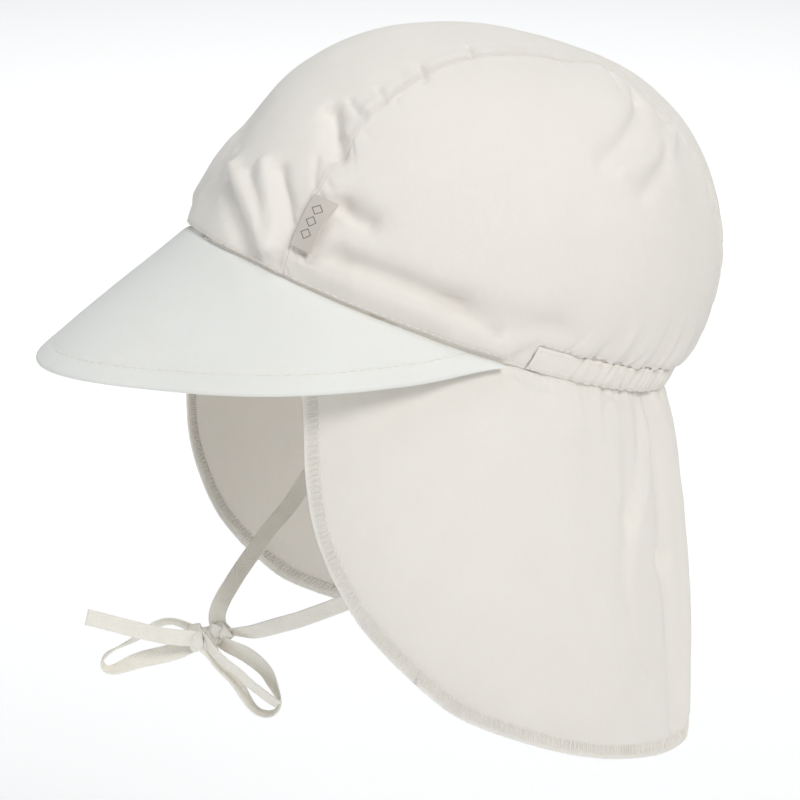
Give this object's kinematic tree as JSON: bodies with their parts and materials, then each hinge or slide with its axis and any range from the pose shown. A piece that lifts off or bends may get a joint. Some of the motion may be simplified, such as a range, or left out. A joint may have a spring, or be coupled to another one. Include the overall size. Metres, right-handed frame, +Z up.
{
  "type": "toddler flap sun cap",
  "caption": "Toddler's off-white cotton sun cap with a soft peak, panelled crown, gathered elastic casing at the nape, long neck flap and chin ties in a bow.",
  "frame": {"origin": "middle of the head opening, where the head sits", "axes": "+Z up on a level head, -Y ahead of the wearer, +X to the wearer's left"},
  "size_m": [0.1584, 0.2527, 0.2638],
  "materials": {
    "crown_cotton": "warm off-white cotton poplin, matt",
    "peak_cotton": "cooler off-white cotton over a soft core, matt",
    "casing_cotton": "gathered off-white cotton, matt",
    "flap_cotton": "single layer of off-white cotton with an overlocked edge, matt",
    "label_tape": "greige woven ribbon, satin",
    "tie_tape": "cream woven cotton tape, matt"
  },
  "bodies": {
    "root": {"crown_centre_panel": "crown_cotton", "crown_side_panel_left": "crown_cotton", "crown_side_panel_right": "crown_cotton", "peak": "peak_cotton", "elastic_casing": "casing_cotton", "neck_flap": "flap_cotton", "side_label": "label_tape", "chin_tie_left": "tie_tape", "chin_tie_right": "tie_tape", "bow_knot": "tie_tape", "bow_loop_left": "tie_tape", "bow_loop_right": "tie_tape", "tie_end_left": "tie_tape", "tie_end_right": "tie_tape"}
  },
  "joints": []
}
